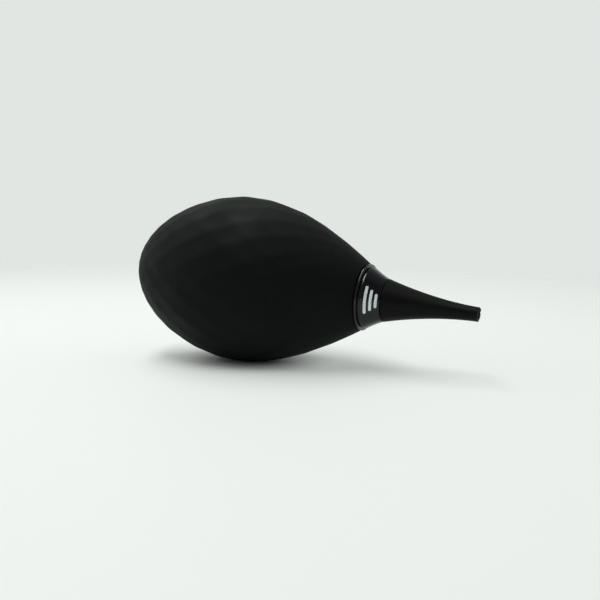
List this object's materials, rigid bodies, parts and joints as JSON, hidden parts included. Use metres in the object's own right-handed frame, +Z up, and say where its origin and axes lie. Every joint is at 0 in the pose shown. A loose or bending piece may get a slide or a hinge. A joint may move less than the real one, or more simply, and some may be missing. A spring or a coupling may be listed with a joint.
{
  "type": "dust blower bulb",
  "caption": "Egg-shaped faceted rubber squeeze bulb with a flared collar and a slender tapered nozzle, for blowing dust off watch parts.",
  "frame": {"origin": "on the surface that the blower lies on, under the middle of its bounding box", "axes": "+X horizontally from the tail towards the nozzle, +Z up; the bulb's own axis dips 5.34 degrees below +X towards the nozzle"},
  "size_m": [0.1314, 0.0604, 0.0602],
  "materials": {
    "black_rubber": "matte",
    "nozzle_rubber": "matte",
    "gloss_collar": "gloss",
    "inner_plastic": "satin",
    "pale_plastic": "satin",
    "pale_rubber": "matte",
    "spring_steel": "satin",
    "brass": "satin",
    "felt": "matte"
  },
  "bodies": {
    "bulb_and_neck": {"bulb": "black_rubber", "neck_bush": "inner_plastic", "neck_gasket": "pale_rubber", "retaining_ring": "spring_steel", "outlet_valve_seat": "pale_plastic", "outlet_valve_cage": "pale_plastic", "collar": "gloss_collar", "nozzle_seal": "pale_rubber"},
    "tail_unit": {"filter_cap": "inner_plastic", "filter_pad": "felt", "inlet_valve_body": "brass", "inlet_valve_cage": "pale_plastic", "inlet_gasket": "pale_rubber", "inlet_nut": "brass"},
    "inlet_flap": {"inlet_valve_flap": "pale_rubber"},
    "outlet_flap": {"outlet_valve_flap": "pale_rubber"},
    "nozzle": {"nozzle": "nozzle_rubber"}
  },
  "joints": [
    {"name": "bulb_squeeze", "type": "slide", "parent": "bulb_and_neck", "child": "tail_unit", "axis": [0.9957, 0, -0.0931], "range_m": [0, 0.022], "stiffness_N_per_m": 900, "springref_m": -0.0005, "deforming": ["bulb"]},
    {"name": "inlet_flap_lift", "type": "slide", "parent": "tail_unit", "child": "inlet_flap", "axis": [0.9957, 0, -0.0931], "range_m": [0, 0.0008], "stiffness_N_per_m": 10, "springref_m": -0.0002},
    {"name": "outlet_flap_lift", "type": "slide", "parent": "bulb_and_neck", "child": "outlet_flap", "axis": [0.9957, 0, -0.0931], "range_m": [0, 0.0008], "stiffness_N_per_m": 10, "springref_m": -0.0002},
    {"name": "nozzle_pull", "type": "slide", "parent": "bulb_and_neck", "child": "nozzle", "axis": [0.9957, 0, -0.0931], "range_m": [0, 0.01]}
  ]
}
